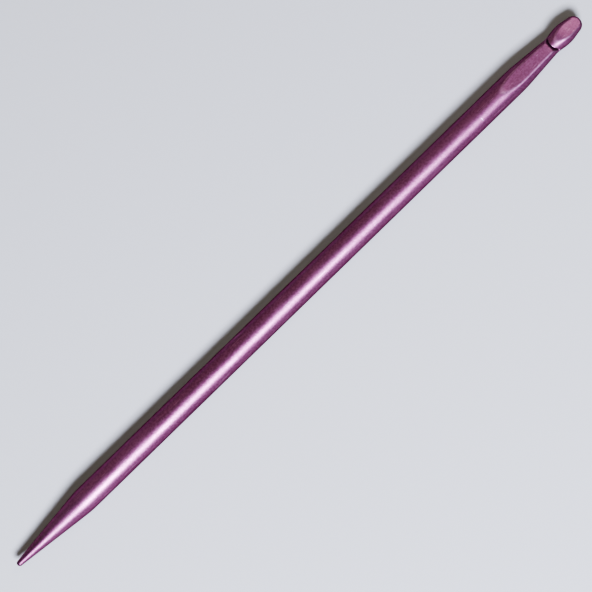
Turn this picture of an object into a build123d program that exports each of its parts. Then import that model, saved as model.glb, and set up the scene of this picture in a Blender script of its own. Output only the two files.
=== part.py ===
from build123d import *
from math import asin, atan2, cos, degrees, hypot, radians, sin, tan
import os

# A crochet hook made from one solid aluminium rod: a needle point at one end,
# and at the other a tapered neck with a milled throat and a rounded head.
#
# Frame: the rod lies along X with its head towards +X and its throat facing +Z,
# and it rests on Z = 0. The origin is under the middle of its length.
# Millimetres throughout. Heights are given over the rod's axis, and places on
# the neck and head are distances back from the end of the nose.

# Whole hook
hook_length = 150.0
shaft_diameter = 5.0  # the size that the hook is sold by

# Needle point
point_length = 17.5  # from the tip to the full shaft
point_tip_radius = 0.6
point_blend_radius = 25.0  # eases the cone into the shaft

# Neck
neck_start = 16.45  # where the shaft begins to taper
neck_diameter = 3.56  # at its thinnest, in front of the lip
neck_blend_radius = 30.0  # eases the shaft into the taper

# Head
lip_place = 7.87  # front edge of the lip
crest_place = 4.7  # where the head reaches its full diameter
head_diameter = 4.16
nose_radius = 1.7
nose_slope = 10.0  # degrees, between the crest and the round nose
nose_blend_radius = 4.0

# Flat on top of the head: a crown behind the lip, and a facet down to the nose
crown_slope = 3.5  # degrees
facet_slope = 10.5  # degrees
facet_place = 4.6  # where the crown meets the facet
facet_drop = 0.04  # of that place, under the top of the neck
facet_blend_radius = 12.0  # between the crown and the facet
facet_edge_radius = 0.15

# Ramp that leads the yarn down into the throat
ramp_place = 20.9  # where it leaves the top of the shaft
ramp_entry_slope = 9.0  # degrees
ramp_floor_slope = 4.3  # degrees
ramp_floor_height = 1.4  # under the lip's front edge
ramp_blend_radius = 30.0  # between the entry and the floor

# Slot that undercuts the lip
slot_lean = 45.0  # degrees from upright, towards the nose
slot_width = 0.42
slot_floor_height = 0.5  # lowest point of its round bottom
slot_mouth_radius = 0.3  # eases the ramp into the slot
throat_edge_radius = 0.15  # along both sides of the ramp and slot, and round the lip

# Construction
cut_overrun = 2.0  # how far each cut runs past the rod

shaft_radius = shaft_diameter / 2
neck_radius = neck_diameter / 2
head_radius = head_diameter / 2
facet_height = neck_radius - facet_drop
axis_height = max(shaft_radius, head_radius)
cut_top = axis_height + cut_overrun

tip_x = -hook_length / 2
nose_x = hook_length / 2
lip_x = nose_x - lip_place
slot_angle = radians(slot_lean)
nose_angle = radians(nose_slope)

point_run = point_length - point_tip_radius
tip_angle = asin(point_tip_radius / hypot(point_run, shaft_radius))
point_angle = atan2(shaft_radius, point_run) - tip_angle  # tangent to the round tip
neck_angle = atan2(shaft_radius - neck_radius, neck_start - lip_place)
shaft_from = tip_x + point_length
shaft_to = nose_x - neck_start

rod_axis = Axis((0, 0, axis_height), (1, 0, 0))
side_view = Plane(origin=(0, 0, axis_height), x_dir=(1, 0, 0), z_dir=(0, -1, 0))
turning_view = Plane(origin=(0, 0, axis_height), x_dir=(1, 0, 0), z_dir=(0, 1, 0))


def turn_rod():
    """The rod as it leaves the lathe: point, shaft, neck and head, all round.

    It is drawn below its axis, which keeps the seam of the turned surfaces away
    from the throat.
    """
    tip_centre = tip_x + point_tip_radius
    point_foot = (
        tip_centre - point_tip_radius * sin(point_angle),
        point_tip_radius * cos(point_angle),
    )
    neck_end = (lip_x, neck_radius)
    neck_run = (cos(neck_angle), -sin(neck_angle))
    crest = (nose_x - crest_place, head_radius)
    nose_centre = nose_x - nose_radius
    nose_foot = (
        nose_centre + nose_radius * sin(nose_angle),
        nose_radius * cos(nose_angle),
    )
    crest_end = (nose_foot[0] - (head_radius - nose_foot[1]) / tan(nose_angle), head_radius)
    tip_sweep = 90 - degrees(point_angle)
    nose_sweep = 90 - nose_slope
    with BuildPart() as rod:
        with BuildSketch(turning_view):
            with BuildLine():
                CenterArc((tip_centre, 0), point_tip_radius, 180, -tip_sweep)
                FilletPolyline(
                    point_foot,
                    (shaft_from, shaft_radius),
                    (shaft_to, shaft_radius),
                    neck_end,
                    radius=[point_blend_radius, neck_blend_radius],
                )
                Spline(neck_end, crest, tangents=[neck_run, (1, 0)])
                FilletPolyline(crest, crest_end, nose_foot, radius=nose_blend_radius)
                CenterArc((nose_centre, 0), nose_radius, nose_sweep, -nose_sweep)
                Line((nose_x, 0), (tip_x, 0))
            make_face()
        revolve(axis=rod_axis)
    return rod


def slot_centre():
    """Middle of the slot's round bottom."""
    height = slot_floor_height + slot_width / 2
    shift = (neck_radius - height) * tan(slot_angle) - slot_width / 2 / cos(slot_angle)
    return lip_x + shift, height


def throat_outline():
    """Side view of what is milled away: the ramp, and the slot under the lip."""
    entry = tan(radians(ramp_entry_slope))
    floor = tan(radians(ramp_floor_slope))
    lean = tan(slot_angle)
    ramp_x = nose_x - ramp_place
    ramp_back = (ramp_x - (cut_top - shaft_radius) / entry, cut_top)
    entry_drop = shaft_radius - ramp_floor_height - (lip_x - ramp_x) * floor
    corner_x = ramp_x + entry_drop / (entry - floor)
    corner = (corner_x, ramp_floor_height + (lip_x - corner_x) * floor)
    mouth_gap = slot_width / cos(slot_angle) - (neck_radius - ramp_floor_height) * lean
    mouth_run = mouth_gap / (1 - floor * lean)
    mouth = (lip_x - mouth_run, ramp_floor_height + mouth_run * floor)
    round_x, round_height = slot_centre()
    across_x = slot_width / 2 * cos(slot_angle)
    across_height = slot_width / 2 * sin(slot_angle)
    near_wall = (round_x - across_x, round_height - across_height)
    far_wall = (round_x + across_x, round_height + across_height)
    slot_bottom = (round_x + across_height, round_height - across_x)
    over_lip = (lip_x - (cut_top - neck_radius) * lean, cut_top)
    with BuildLine() as outline:
        FilletPolyline(
            ramp_back,
            corner,
            mouth,
            near_wall,
            radius=[ramp_blend_radius, slot_mouth_radius],
        )
        ThreePointArc(near_wall, slot_bottom, far_wall)
        Polyline(far_wall, over_lip, ramp_back)
    return outline


def facet_outline():
    """Side view of what is cut from the top of the head: over the crown and the facet."""
    facet_x = nose_x - facet_place
    end_x = nose_x + cut_overrun
    crown_start = (lip_x, facet_height + (facet_x - lip_x) * tan(radians(crown_slope)))
    facet_end = (end_x, facet_height - (end_x - facet_x) * tan(radians(facet_slope)))
    with BuildLine() as outline:
        FilletPolyline(
            crown_start,
            (facet_x, facet_height),
            facet_end,
            radius=facet_blend_radius,
        )
        Polyline(facet_end, (end_x, cut_top), (lip_x, cut_top), crown_start)
    return outline


rod = turn_rod()
throat_cut = throat_outline()
facet_cut = facet_outline()

with BuildPart() as hook:
    add(rod.part)
    for outline, edge_radius in ((throat_cut, throat_edge_radius), (facet_cut, facet_edge_radius)):
        with BuildSketch(side_view):
            add(outline.line)
            make_face()
        extrude(amount=cut_top, both=True, mode=Mode.SUBTRACT)
        fillet(edges(Select.NEW).filter_by(Axis.Y, reverse=True), edge_radius)

# The hook is one piece of metal. It is written in four lengths that meet face to
# face, so that none of them bends round the throat: two cuts are at the ends of
# the full shaft, and the third runs down the middle of the slot.
slot_x, slot_height = slot_centre()
point_end = Plane(origin=(shaft_from, 0, axis_height), z_dir=(1, 0, 0))
shaft_end = Plane(origin=(shaft_to, 0, axis_height), z_dir=(1, 0, 0))
slot_middle = Plane(
    origin=(slot_x, 0, axis_height + slot_height),
    z_dir=(cos(slot_angle), 0, sin(slot_angle)),
)

with BuildPart() as needle_point:
    add(hook.part)
    split(bisect_by=point_end, keep=Keep.BOTTOM)

with BuildPart() as shaft:
    add(hook.part)
    split(bisect_by=point_end, keep=Keep.TOP)
    split(bisect_by=shaft_end, keep=Keep.BOTTOM)

with BuildPart() as throat:
    add(hook.part)
    split(bisect_by=shaft_end, keep=Keep.TOP)
    split(bisect_by=slot_middle, keep=Keep.BOTTOM)

with BuildPart() as head:
    add(hook.part)
    split(bisect_by=slot_middle, keep=Keep.TOP)

needle_point.part.label = "needle_point"
shaft.part.label = "shaft"
throat.part.label = "throat"
head.part.label = "head"

os.makedirs("parts", exist_ok=True)
for length in (needle_point, shaft, throat, head):
    export_step(length.part, f"parts/{length.part.label}.step")
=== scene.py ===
import math

import bpy
import numpy as np
from mathutils import Matrix, Vector


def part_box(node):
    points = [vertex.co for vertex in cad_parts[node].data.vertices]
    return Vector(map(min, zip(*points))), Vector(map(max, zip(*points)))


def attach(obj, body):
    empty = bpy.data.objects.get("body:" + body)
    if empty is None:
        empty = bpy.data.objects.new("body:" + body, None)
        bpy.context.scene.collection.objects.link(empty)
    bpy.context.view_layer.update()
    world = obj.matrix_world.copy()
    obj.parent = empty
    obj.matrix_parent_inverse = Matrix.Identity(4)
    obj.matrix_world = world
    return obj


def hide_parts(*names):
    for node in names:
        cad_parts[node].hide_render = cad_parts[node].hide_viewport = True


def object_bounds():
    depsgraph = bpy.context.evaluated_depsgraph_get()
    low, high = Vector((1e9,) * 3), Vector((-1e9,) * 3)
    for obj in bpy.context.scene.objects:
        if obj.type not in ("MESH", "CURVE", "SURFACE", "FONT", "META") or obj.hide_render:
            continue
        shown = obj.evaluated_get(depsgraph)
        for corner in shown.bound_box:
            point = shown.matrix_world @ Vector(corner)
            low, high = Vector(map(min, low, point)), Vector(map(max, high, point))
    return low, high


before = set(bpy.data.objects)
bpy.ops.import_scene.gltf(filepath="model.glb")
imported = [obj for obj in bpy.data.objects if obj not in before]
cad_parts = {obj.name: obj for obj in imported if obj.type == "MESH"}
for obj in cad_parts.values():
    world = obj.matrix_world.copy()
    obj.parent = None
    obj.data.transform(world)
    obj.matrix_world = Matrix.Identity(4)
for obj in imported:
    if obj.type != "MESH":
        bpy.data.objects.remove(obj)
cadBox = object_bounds()
mm = 0.001

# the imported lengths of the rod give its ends, its thickness and the height of its axis, in millimetres
pointBox, shaftBox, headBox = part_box("needle_point"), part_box("shaft"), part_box("head")
tipX = pointBox[0].x / mm
noseX = headBox[1].x / mm
shaftRadius = (shaftBox[1].z - shaftBox[0].z) / 2 / mm
axisHeight = (shaftBox[1].z + shaftBox[0].z) / 2 / mm
print("hook runs from", round(tipX, 2), "to", round(noseX, 2), "mm, shaft radius", round(shaftRadius, 3))

# Millimetres and degrees. Places are measured back from the end of the nose, heights from the rod's axis.
hook = {
    "tipRadius": 0.6,
    "pointLength": 17.5,
    "pointBlend": 25.0,
    "neckPlace": 16.45,
    "neckRadius": 1.78,
    "neckBlend": 30.0,
    "lipPlace": 7.87,
    "crestPlace": 4.7,
    "headRadius": 2.08,
    "noseRadius": 1.7,
    "noseSlope": 10.0,
    "noseBlend": 4.0,
    "crownSlope": 3.5,
    "facetSlope": 10.5,
    "facetPlace": 4.6,  # where the crown meets the facet
    "facetDrop": 0.04,  # of that place, under the top of the neck
    "facetBlend": 12.0,
    "facetRim": 0.15,  # softness of the crown's and the facet's outline
    "rampPlace": 20.9,
    "entrySlope": 9.0,
    "floorSlope": 4.3,
    "floorHeight": 1.4,
    "rampBlend": 30.0,
    "slotLean": 45.0,
    "slotWidth": 0.42,
    "slotFloor": 0.5,
    "mouthRadius": 0.3,
    "throatRim": 0.15,  # softness of the ramp's and the lip's edges
}
lipX = noseX - hook["lipPlace"]
facetHeight = hook["neckRadius"] - hook["facetDrop"]
noseAngle = math.radians(hook["noseSlope"])
slotAngle = math.radians(hook["slotLean"])


def unit(v):
    return v / np.linalg.norm(v)


def slopeOf(degrees):
    return math.tan(math.radians(degrees))


def arcPoints(centre, radius, fromAngle, toAngle, steps):
    angles = np.linspace(fromAngle, toAngle, steps)
    return np.stack([centre[0] + radius * np.cos(angles), centre[1] + radius * np.sin(angles)], 1)


def roundedLine(corners, radii, steps=24):
    # straight runs joined by tangent arcs, one radius for each inner corner
    corners = [np.array(c, float) for c in corners]
    points = [corners[0]]
    for a, b, c, radius in zip(corners, corners[1:], corners[2:], radii):
        u, v = unit(a - b), unit(c - b)
        half = math.acos(np.clip(u @ v, -1, 1)) / 2
        centre = b + unit(u + v) * radius / math.sin(half)
        start, end = b + u * radius / math.tan(half), b + v * radius / math.tan(half)
        for share in np.linspace(0, 1, steps):
            points.append(centre + unit((start - centre) * (1 - share) + (end - centre) * share) * radius)
    points.append(corners[-1])
    return np.array(points)


def easedLine(start, startSlope, end, endSlope, steps=40):
    # a cubic from start to end with the given slopes
    run = end[0] - start[0]
    s = np.linspace(0, 1, steps)
    height = (
        (2 * s**3 - 3 * s**2 + 1) * start[1]
        + (s**3 - 2 * s**2 + s) * run * startSlope
        + (3 * s**2 - 2 * s**3) * end[1]
        + (s**3 - s**2) * run * endSlope
    )
    return np.stack([start[0] + s * run, height], 1)


def turnedOutline():
    # radius of the turned rod from tip to nose, before anything is milled away
    tipCentre = tipX + hook["tipRadius"]
    pointRun = hook["pointLength"] - hook["tipRadius"]
    coneAngle = math.atan2(shaftRadius, pointRun)
    coneAngle -= math.asin(hook["tipRadius"] / math.hypot(pointRun, shaftRadius))
    tip = arcPoints((tipCentre, 0), hook["tipRadius"], math.pi, math.pi / 2 + coneAngle, 24)
    neckEnd = (lipX, hook["neckRadius"])
    body = roundedLine(
        [
            tip[-1],
            (tipX + hook["pointLength"], shaftRadius),
            (noseX - hook["neckPlace"], shaftRadius),
            neckEnd,
        ],
        [hook["pointBlend"], hook["neckBlend"]],
    )
    neckSlope = (hook["neckRadius"] - shaftRadius) / (hook["neckPlace"] - hook["lipPlace"])
    crest = (noseX - hook["crestPlace"], hook["headRadius"])
    flare = easedLine(neckEnd, neckSlope, crest, 0)
    noseCentre = noseX - hook["noseRadius"]
    nose = arcPoints((noseCentre, 0), hook["noseRadius"], math.pi / 2 - noseAngle, 0, 32)
    crestEnd = (nose[0][0] - (hook["headRadius"] - nose[0][1]) / math.tan(noseAngle), hook["headRadius"])
    top = roundedLine([crest, crestEnd, nose[0]], [hook["noseBlend"]])
    return np.concatenate([tip, body[1:], flare[1:], top[1:], nose[1:]]), tip[-1], nose[0]


outline, pointFoot, noseFoot = turnedOutline()
fineX = np.linspace(tipX, noseX, 30001)  # every 0.005 mm
fineRadius = np.interp(fineX, outline[:, 0], outline[:, 1])
fineSlope = np.gradient(fineRadius, fineX)


def turnedRadius(x):
    return np.interp(x, fineX, fineRadius)


def rampLine():
    entry, floor = slopeOf(hook["entrySlope"]), slopeOf(hook["floorSlope"])
    rampX = noseX - hook["rampPlace"]
    drop = shaftRadius - hook["floorHeight"] - (lipX - rampX) * floor
    cornerX = rampX + drop / (entry - floor)
    past = 10.0  # the entry is carried on past the rod, and the floor past the slot
    return roundedLine(
        [
            (rampX - past, shaftRadius + past * entry),
            (cornerX, hook["floorHeight"] + (lipX - cornerX) * floor),
            (lipX + past, hook["floorHeight"] - past * floor),
        ],
        [hook["rampBlend"]],
    )


def facetLine():
    # over the crown, which starts behind the lip, and down the facet
    crown, fall = slopeOf(hook["crownSlope"]), slopeOf(hook["facetSlope"])
    facetX = noseX - hook["facetPlace"]
    behind, past = 5.0, 10.0  # how far the two are carried on, behind the lip and past the nose
    return roundedLine(
        [
            (facetX - behind, facetHeight + behind * crown),
            (facetX, facetHeight),
            (facetX + past, facetHeight - past * fall),
        ],
        [hook["facetBlend"]],
    )


ramp, facet = rampLine(), facetLine()
slotHalf = hook["slotWidth"] / 2
slotCentreHeight = hook["slotFloor"] + slotHalf
slotShift = (hook["neckRadius"] - slotCentreHeight) * math.tan(slotAngle) - slotHalf / math.cos(slotAngle)
slotCentre = np.array([lipX + slotShift, slotCentreHeight])
slotAcross = np.array([math.cos(slotAngle), math.sin(slotAngle)])
slotDown = np.array([math.sin(slotAngle), -math.cos(slotAngle)])


def roundMax(a, b, radius):
    # the larger of two distances, with the edge between them rounded
    return np.minimum(-radius, np.maximum(a, b)) + np.hypot(
        np.maximum(radius + a, 0), np.maximum(radius + b, 0)
    )


def turnedDistance(x, across, height):
    # below 0 in the metal and above 0 outside it, as are all of these distances
    reach = np.hypot(across, height)
    slope = np.interp(x, fineX, fineSlope)
    side = (reach - turnedRadius(x)) / np.sqrt(1 + slope**2)
    tip = np.hypot(x - tipX - hook["tipRadius"], reach) - hook["tipRadius"]
    nose = np.hypot(x - noseX + hook["noseRadius"], reach) - hook["noseRadius"]
    return np.where(x < pointFoot[0], tip, np.where(x > noseFoot[0], nose, side))


def throatDistance(x, height):
    # above 0 where the ramp and the slot are milled away
    floor = (height - np.interp(x, ramp[:, 0], ramp[:, 1])) * math.cos(math.radians(hook["floorSlope"]))
    fromX, fromHeight = x - slotCentre[0], height - slotCentre[1]
    along = np.minimum(fromX * slotDown[0] + fromHeight * slotDown[1], 0)
    slot = slotHalf - np.hypot(fromX - along * slotDown[0], fromHeight - along * slotDown[1])
    wall = slotHalf - fromX * slotAcross[0] - fromHeight * slotAcross[1]
    return np.minimum(roundMax(floor, slot, hook["mouthRadius"]), wall)


def facetDistance(x, height):
    # above 0 over the crown and the facet, as far back as the lip
    over = (height - np.interp(x, facet[:, 0], facet[:, 1])) * math.cos(math.radians(hook["crownSlope"]))
    return np.minimum(over, x - lipX)


def hookDistance(points):
    x, across, height = points[..., 0], points[..., 1], points[..., 2]
    milled = roundMax(turnedDistance(x, across, height), throatDistance(x, height), hook["throatRim"])
    return roundMax(milled, facetDistance(x, height), hook["facetRim"])


def settle(points, rounds=8):
    # moves every vertex along the gradient until it lies on the hook's surface
    step, leastSlope = 0.002, 0.05
    for _ in range(rounds):
        gap = hookDistance(points)
        slope = np.stack(
            [
                (hookDistance(points + step * axis) - hookDistance(points - step * axis)) / 2 / step
                for axis in np.eye(3)
            ],
            -1,
        )
        size = np.maximum((slope**2).sum(-1), leastSlope)
        points = points - (gap / size)[..., None] * slope
    return points


# How the surface is divided. The rings stand across the rod on its shaft, and fan out near the slot.
surface = {
    "around": 144,  # vertices in a ring
    "tipRings": 11,
    "pointRings": 25,
    "shaftRings": 57,
    "rampRings": 115,
    "mouthRings": 13,  # down the near wall of the slot
    "bottomRings": 23,  # round its bottom
    "lipRings": 15,  # up under the lip
    "headRings": 79,
    "noseRings": 7,
    "pastPoint": 2.0,  # mm of shaft that the needle point's rings take in
    "beforeRamp": 0.6,  # mm of shaft that the ramp's rings take in
    "noseCap": 0.2,  # mm of nose that the last rings close
    "mouthFan": 0.2,  # mm that the feet of the rings lean towards the nose, at the mouth
    "lipFan": 2.25,  # and at the lip
    "fanFade": 1.2,  # how soon the lean fades over the head
    "mouthReach": 0.3,  # mm that a ring first follows the slot, at the mouth
    "bottomReach": 0.6,
    "lipReach": 1.8,
    "footLift": 0.35,  # share of its height that a ring comes up straight from its foot
    "evening": 6,  # rounds of evening out
}


def stations():
    # for each ring: where it crosses the top of the hook, where its foot is underneath, and how far it
    # first follows the slope of the slot
    rows = []

    def run(line, feet, reaches):
        rows.extend(zip(line[:, 0], line[:, 1], feet, reaches))

    def along(fromX, toX, count, cut=None):
        xs = np.linspace(fromX, toX, count + 1)[1:]
        heights = turnedRadius(xs)
        if cut is not None:
            heights = np.minimum(heights, np.interp(xs, cut[:, 0], cut[:, 1]))
        return np.stack([xs, heights], 1)

    def between(start, end, count):
        return start + (end - start) * np.linspace(0, 1, count + 1)[1:, None]

    tipCentre = tipX + hook["tipRadius"]
    tipTurn = math.acos((tipCentre - pointFoot[0]) / hook["tipRadius"])
    tip = arcPoints(
        (tipCentre, 0), hook["tipRadius"], math.pi, math.pi - tipTurn, surface["tipRings"] + 1
    )
    pointTo = tipX + hook["pointLength"] + surface["pastPoint"]
    shaftTo = noseX - hook["rampPlace"] - surface["beforeRamp"]
    point = along(pointFoot[0], pointTo, surface["pointRings"])
    shaft = along(pointTo, shaftTo, surface["shaftRings"])
    rod = np.concatenate([tip[1:], point, shaft])
    run(rod, rod[:, 0], 0 * rod[:, 0])

    nearFoot = slotCentre - slotAcross * slotHalf
    mouth = nearFoot - slotDown * (hook["floorHeight"] - hook["slotFloor"])
    floor = along(shaftTo, mouth[0], surface["rampRings"], ramp)
    share = np.linspace(0, 1, len(floor)) ** 2
    run(floor, floor[:, 0] + surface["mouthFan"] * share, surface["mouthReach"] * share)

    lip = np.array([lipX, hook["neckRadius"]])
    nearWall = between(mouth, nearFoot, surface["mouthRings"])
    turns = np.linspace(math.pi, 0, surface["bottomRings"] + 1)[1:, None]
    bottom = slotCentre + slotHalf * (np.cos(turns) * slotAcross + np.sin(turns) * slotDown)
    farWall = between(bottom[-1], lip, surface["lipRings"])
    slot = np.concatenate([nearWall, bottom, farWall])
    feet = np.linspace(mouth[0] + surface["mouthFan"], lipX + surface["lipFan"], len(slot) + 1)[1:]
    lowReaches = np.linspace(surface["mouthReach"], surface["bottomReach"], len(nearWall) + len(bottom))
    lipReaches = np.linspace(surface["bottomReach"], surface["lipReach"], len(farWall))
    run(slot, feet, np.concatenate([lowReaches, lipReaches]))

    head = along(lipX, noseX - surface["noseCap"], surface["headRings"], facet)
    left = 1 - np.linspace(0, 1, len(head))
    run(head, head[:, 0] + surface["lipFan"] * left ** surface["fanFade"], surface["lipReach"] * left)
    capHeight = rows[-1][1]
    for share in np.linspace(0, 1, surface["noseRings"] + 2)[1:-1]:
        height = capHeight * (1 - share)
        x = noseX - hook["noseRadius"] + math.sqrt(hook["noseRadius"] ** 2 - height**2)
        rows.append((x, height, x, 0))
    return rows


def halfRing(x, height, foot, reach):
    # from the top of the hook round its side to the bottom, divided evenly
    flatSteps, sideSteps = 39, 240
    start, end = np.array([x, height]), np.array([foot, -turnedRadius(foot)])
    if reach == 0:
        guides = [start, start + (end - start) / 3, start + (end - start) * 2 / 3, end]
    else:
        lift = surface["footLift"] * (height - end[1])
        guides = [start, start + slotDown * reach, end + (0, lift), end]
    share = (1 - np.cos(np.linspace(0, math.pi, sideSteps)))[:, None] / 2
    weights = [(1 - share) ** 3, 3 * share * (1 - share) ** 2, 3 * share**2 * (1 - share), share**3]
    line = sum(weight * guide for weight, guide in zip(weights, guides))
    across = np.sqrt(np.maximum(turnedRadius(line[:, 0]) ** 2 - line[:, 1] ** 2, 0))
    side = np.stack([line[:, 0], across, line[:, 1]], 1)
    flat = np.linspace(0, across[0], flatSteps + 1)[:-1]
    top = np.stack([np.full(flatSteps, x), flat, np.full(flatSteps, height)], 1)
    path = np.concatenate([top, side])
    length = np.concatenate([[0], np.cumsum(np.linalg.norm(np.diff(path, axis=0), axis=1))])
    wanted = np.linspace(0, length[-1], surface["around"] // 2 + 1)
    return np.stack([np.interp(wanted, length, path[:, k]) for k in range(3)], 1)


def hookGrid():
    rings = []
    for station in stations():
        half = halfRing(*station)
        rings.append(np.concatenate([half, half[-2:0:-1] * (1, -1, 1)]))
    return settle(np.array(rings))


def evenOut(grid, rounds):
    # evens out the rings between the two ends, then puts them back on the surface
    for _ in range(rounds):
        around = (np.roll(grid, 1, 1) + np.roll(grid, -1, 1)) / 2
        along = grid.copy()
        along[1:-1] = (grid[2:] + grid[:-2]) / 2
        grid[1:-1] = (grid + (around + along) / 2)[1:-1] / 2
        grid = settle(grid, 4)
    return grid


def rimWear(grid):
    # 1 on the crisp rims of the ramp, slot and facet, fading to 0 a little way off
    wearReach = 0.07
    x, across, height = grid[..., 0], grid[..., 1], grid[..., 2]
    turned, throat = turnedDistance(x, across, height), throatDistance(x, height)
    top = facetDistance(x, height)
    near = np.maximum(np.minimum(turned, throat), np.minimum(np.maximum(turned, throat), top))
    return np.exp(-((near / wearReach) ** 2))


def gridFaces(rings, around):
    # quads between the rings, and a fan of triangles to the vertex at each end
    faces = []
    for j in range(rings - 1):
        for i in range(around):
            k = (i + 1) % around
            faces.append((j * around + i, j * around + k, (j + 1) * around + k, (j + 1) * around + i))
    last = (rings - 1) * around
    for i in range(around):
        k = (i + 1) % around
        faces.append((rings * around, k, i))
        faces.append((rings * around + 1, last + i, last + k))
    return faces


def buildHook():
    grid = evenOut(hookGrid(), surface["evening"])
    rings, around = grid.shape[:2]
    ends = np.array([(tipX, 0, 0), (noseX, 0, 0)])
    points = np.concatenate([grid.reshape(-1, 3), ends]) * mm
    points[:, 2] += axisHeight * mm
    faces = gridFaces(rings, around)
    mesh = bpy.data.meshes.new("crochet_hook")
    mesh.from_pydata(points.tolist(), [], faces)
    mesh.validate()
    mesh.shade_smooth()
    wear = mesh.attributes.new("rimWear", "FLOAT", "POINT")
    wear.data.foreach_set("value", np.concatenate([rimWear(grid).ravel(), [0, 0]]).astype(np.float32))
    piece = bpy.data.objects.new("crochet_hook", mesh)
    bpy.context.scene.collection.objects.link(piece)
    print("hook mesh", rings, "rings,", len(faces), "faces")
    return piece


hookPiece = buildHook()
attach(hookPiece, "root")
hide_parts("needle_point", "shaft", "throat", "head")

# Sizes in metres. A stretch of 3 makes the marks three times as long along that axis, and a range is the
# part of the noise over which the marks fade in.
finish = {
    "dye": (0.138, 0.041, 0.085),
    "faded": (0.2, 0.068, 0.13),  # where the dye took less
    "worn": (0.55, 0.27, 0.42),  # along the rims and scuffs
    "bare": (0.36, 0.19, 0.29),  # in the nick, through most of the dye
    "edgeTint": (0.1, 0.04, 0.09),  # seen at a glancing angle, through more of the dye
    "oxideIor": 1.6,
    "cloudSize": 0.009,
    "cloudStretch": (2.5, 1, 1),
    "cloudRange": (0.35, 0.7),
    "cloudShare": 0.4,
    "mottleSize": 0.0004,
    "mottleRange": (0.35, 0.65),
    "mottleShare": 0.9,
    "rimPatchSize": 0.0006,
    "rimPatchRange": (0.3, 0.65),
    "rimShare": (0.25, 0.8),  # of the wear, from its least to its most rubbed stretches
    "rimPolish": 0.08,  # how much smoother than the rest
    "scuffSize": 0.00028,
    "scuffStretch": (22, 1, 1),
    "scuffRange": (0.64, 0.74),
    "scuffShare": 0.3,
    "scuffPolish": 0.2,
    "roughness": (0.38, 0.44),  # from the most rubbed to the most matt patches
    "mattSize": 0.0025,
    "mattStretch": (3, 1, 1),
    "mattRange": (0.3, 0.7),
    "grainSize": 0.00024,
    "grainDepth": 0.00003,
    "grainStrength": 0.55,
    "turningPitch": 0.00011,  # of the fine rings that turning left round the rod
    "turningStretch": (1, 9, 9),
    "turningDepth": 0.0000016,
    "turningStrength": 0.5,
    "nickPlace": (0.0479, -0.0011, 0.00475),
    "nickSize": (0.00012, 0.00048, 0.00048),
    "nickRange": (0.05, 0.5),
    "nickShare": 0.9,
    "nickDepth": 0.00002,
    "nickStrength": 0.4,
}


def addNode(tree, kind, inputs=None, **settings):
    node = tree.nodes.new(kind)
    for name, value in settings.items():
        setattr(node, name, value)
    for name, value in (inputs or {}).items():
        node.inputs[name].default_value = value
    return node


def join(tree, source, target):
    tree.links.new(source, target)


def addNoise(tree, place, size, detail=3.0, stretch=(1, 1, 1)):
    # noise with features of about the given size
    mapping = addNode(tree, "ShaderNodeMapping")
    mapping.inputs["Scale"].default_value = [1 / size / k for k in stretch]
    noise = addNode(tree, "ShaderNodeTexNoise", {"Scale": 1.0, "Detail": detail, "Roughness": 0.55})
    join(tree, place, mapping.inputs["Vector"])
    join(tree, mapping.outputs["Vector"], noise.inputs["Vector"])
    return noise.outputs["Fac"]


def remap(tree, value, before, after):
    # stretches one range of values to another, eased at both ends
    node = addNode(
        tree,
        "ShaderNodeMapRange",
        {"From Min": before[0], "From Max": before[1], "To Min": after[0], "To Max": after[1]},
        interpolation_type="SMOOTHSTEP",
    )
    join(tree, value, node.inputs["Value"])
    return node.outputs["Result"]


def calculate(tree, operation, first, second):
    node = addNode(tree, "ShaderNodeMath", operation=operation)
    for socket, value in zip(node.inputs, (first, second)):
        if isinstance(value, float):
            socket.default_value = value
        else:
            join(tree, value, socket)
    return node.outputs["Value"]


def blendColour(tree, share, first, second):
    # from the first colour at share 0 to the second at 1; either can be a fixed colour or a socket
    node = addNode(tree, "ShaderNodeMix", data_type="RGBA")
    sockets = {socket.identifier: socket for socket in node.inputs}
    join(tree, share, sockets["Factor_Float"])
    for name, value in (("A_Color", first), ("B_Color", second)):
        if isinstance(value, tuple):
            sockets[name].default_value = (*value, 1)
        else:
            join(tree, value, sockets[name])
    return next(socket for socket in node.outputs if socket.identifier == "Result_Color")


def addBump(tree, height, depth, strength, before=None):
    bump = addNode(tree, "ShaderNodeBump", {"Strength": strength, "Distance": depth})
    join(tree, height, bump.inputs["Height"])
    if before is not None:
        join(tree, before, bump.inputs["Normal"])
    return bump.outputs["Normal"]


def nickShape(tree, place):
    # nearly 1 in the middle of the nick, 0 outside it
    shift = addNode(tree, "ShaderNodeMapping", vector_type="TEXTURE")
    shift.inputs["Location"].default_value = finish["nickPlace"]
    shift.inputs["Scale"].default_value = finish["nickSize"]
    ball = addNode(tree, "ShaderNodeTexGradient", gradient_type="SPHERICAL")
    join(tree, place, shift.inputs["Vector"])
    join(tree, shift.outputs["Vector"], ball.inputs["Vector"])
    return remap(tree, ball.outputs["Fac"], finish["nickRange"], (0.0, finish["nickShare"]))


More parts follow.
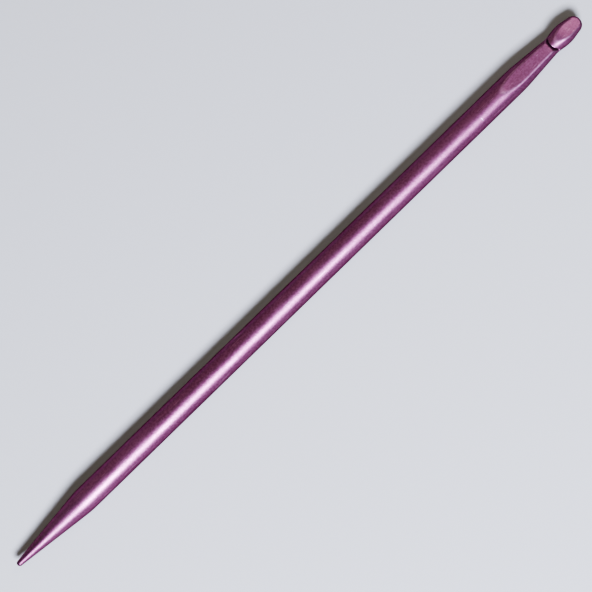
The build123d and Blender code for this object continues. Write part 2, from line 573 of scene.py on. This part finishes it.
def anodisedFinish():
    material = bpy.data.materials.new("magentaAnodising")
    material.use_nodes = True
    tree = material.node_tree
    shader = tree.nodes["Principled BSDF"]
    shader.inputs["Metallic"].default_value = 1.0
    shader.inputs["IOR"].default_value = finish["oxideIor"]
    shader.inputs["Specular Tint"].default_value = (*finish["edgeTint"], 1)
    place = addNode(tree, "ShaderNodeTexCoord").outputs["Object"]
    rims = addNode(tree, "ShaderNodeAttribute", attribute_name="rimWear").outputs["Fac"]

    # the dye, cloudy over some centimetres and finely mottled
    clouds = addNoise(tree, place, finish["cloudSize"], 2.0, finish["cloudStretch"])
    clouds = remap(tree, clouds, finish["cloudRange"], (0.0, finish["cloudShare"]))
    mottle = addNoise(tree, place, finish["mottleSize"])
    mottle = remap(tree, mottle, finish["mottleRange"], (0.0, finish["mottleShare"]))
    colour = blendColour(tree, calculate(tree, "ADD", clouds, mottle), finish["dye"], finish["faded"])

    # rubbed rims, in patches
    patches = addNoise(tree, place, finish["rimPatchSize"])
    patches = remap(tree, patches, finish["rimPatchRange"], finish["rimShare"])
    rubbed = calculate(tree, "MULTIPLY", rims, patches)
    colour = blendColour(tree, rubbed, colour, finish["worn"])

    # long faint scuffs from years of yarn
    scuffs = addNoise(tree, place, finish["scuffSize"], 2.0, finish["scuffStretch"])
    scuffs = remap(tree, scuffs, finish["scuffRange"], (0.0, finish["scuffShare"]))
    colour = blendColour(tree, scuffs, colour, finish["worn"])

    # one small nick
    nick = nickShape(tree, place)
    colour = blendColour(tree, nick, colour, finish["bare"])
    join(tree, colour, shader.inputs["Base Color"])

    # matt and rubbed patches
    matt = addNoise(tree, place, finish["mattSize"], 4.0, finish["mattStretch"])
    matt = remap(tree, matt, finish["mattRange"], finish["roughness"])
    for rub, polish in ((rubbed, finish["rimPolish"]), (scuffs, finish["scuffPolish"])):
        matt = calculate(tree, "SUBTRACT", matt, calculate(tree, "MULTIPLY", rub, polish))
    join(tree, matt, shader.inputs["Roughness"])

    # blasted grain, the rings that turning left under it, and the hollow of the nick
    grain = addNoise(tree, place, finish["grainSize"])
    turning = addNoise(tree, place, finish["turningPitch"], 2.0, finish["turningStretch"])
    hollow = calculate(tree, "MULTIPLY", nick, -1.0)
    normal = addBump(tree, grain, finish["grainDepth"], finish["grainStrength"])
    normal = addBump(tree, turning, finish["turningDepth"], finish["turningStrength"], normal)
    normal = addBump(tree, hollow, finish["nickDepth"], finish["nickStrength"], normal)
    join(tree, normal, shader.inputs["Normal"])
    return material


hookPiece.data.materials.append(anodisedFinish())
print("finish made")

floorPlate = {
    "colour": (0.28, 0.272, 0.252),
    "roughness": 0.85,
    "size": 3.0,
}


def buildFloor():
    half = floorPlate["size"] / 2
    corners = [(-half, -half, 0), (half, -half, 0), (half, half, 0), (-half, half, 0)]
    mesh = bpy.data.meshes.new("floor")
    mesh.from_pydata(corners, [], [(0, 1, 2, 3)])
    floor = bpy.data.objects.new("floor", mesh)
    bpy.context.scene.collection.objects.link(floor)
    material = bpy.data.materials.new("paleFloor")
    material.use_nodes = True
    shader = material.node_tree.nodes["Principled BSDF"]
    shader.inputs["Base Color"].default_value = (*floorPlate["colour"], 1)
    shader.inputs["Roughness"].default_value = floorPlate["roughness"]
    mesh.materials.append(material)


# Each light is a soft rectangle that faces its target. Metres and watts.
lights = {
    "windowLight": {
        "place": (-0.13, -0.36, 0.48),
        "target": (0, 0, 0),
        "size": (0.24, 0.17),
        "power": 21,
        "colour": (0.86, 0.93, 1.2),
    },
    "noseLight": {
        "place": (0.36, 0.05, 0.42),
        "target": (0.07, 0, 0),
        "size": (0.16, 0.16),
        "power": 0.7,
        "colour": (1, 1, 1),
    },
    "skyPanel": {
        "place": (0.02, 0.3, 0.6),
        "target": (0, 0, 0),
        "size": (0.5, 0.5),
        "power": 0.4,
        "colour": (1, 0.82, 0.74),
    },
    "bounceCard": {
        "place": (0, 0.5, 0.28),
        "target": (0, 0, 0),
        "size": (0.6, 0.3),
        "power": 0.36,
        "colour": (1, 0.8, 0.72),
    },
}


def addSoftbox(name, place, target, size, power, colour):
    light = bpy.data.lights.new(name, "AREA")
    light.shape = "RECTANGLE"
    light.size, light.size_y = size
    light.energy = power
    light.color = colour
    softbox = bpy.data.objects.new(name, light)
    bpy.context.scene.collection.objects.link(softbox)
    softbox.location = place
    softbox.rotation_mode = "QUATERNION"
    softbox.rotation_quaternion = (Vector(target) - Vector(place)).to_track_quat("-Z", "Y")
    softbox.visible_camera = False


tone = {
    "airLight": 0.08,  # even light from all round
    "transform": "AgX",
    "look": "AgX - Medium High Contrast",
}


def setTone():
    air = bpy.data.worlds.new("air")
    air.use_nodes = True
    background = air.node_tree.nodes["Background"]
    background.inputs["Color"].default_value = (1, 1, 1, 1)
    background.inputs["Strength"].default_value = tone["airLight"]
    bpy.context.scene.world = air
    bpy.context.scene.view_settings.view_transform = tone["transform"]
    bpy.context.scene.view_settings.look = tone["look"]


view = {
    "lens": 120.0,
    "sensor": 36.0,
    "frameWidth": 0.1133,  # of what the picture takes in, across the middle of the hook
    "turn": 44.2,  # degrees that the hook climbs from left to right
    "lean": 7.5,  # degrees that the camera stands to the side of straight above
    "shiftRight": 0.0005,  # how far the hook's middle lies off the middle of the picture
    "shiftUp": 0.00077,
    "clip": (0.01, 10),
}


def buildCamera():
    turn, lean = math.radians(view["turn"]), math.radians(view["lean"])
    along = Vector((1, 0, 0))
    down = Vector((0, -math.cos(lean), -math.sin(lean)))
    right = along * math.cos(turn) + down * math.sin(turn)
    up = along * math.sin(turn) - down * math.cos(turn)
    back = right.cross(up)
    data = bpy.data.cameras.new("camera")
    data.lens, data.sensor_width = view["lens"], view["sensor"]
    data.clip_start, data.clip_end = view["clip"]
    camera = bpy.data.objects.new("camera", data)
    bpy.context.scene.collection.objects.link(camera)
    middle = (cadBox[0] + cadBox[1]) / 2 - right * view["shiftRight"] - up * view["shiftUp"]
    distance = view["frameWidth"] * view["lens"] / view["sensor"]
    facing = Matrix((right, up, back)).transposed().to_4x4()
    camera.matrix_world = Matrix.Translation(middle + back * distance) @ facing
    bpy.context.scene.camera = camera


buildFloor()
for name, light in lights.items():
    addSoftbox(name, **light)
setTone()
buildCamera()
print("stage made")
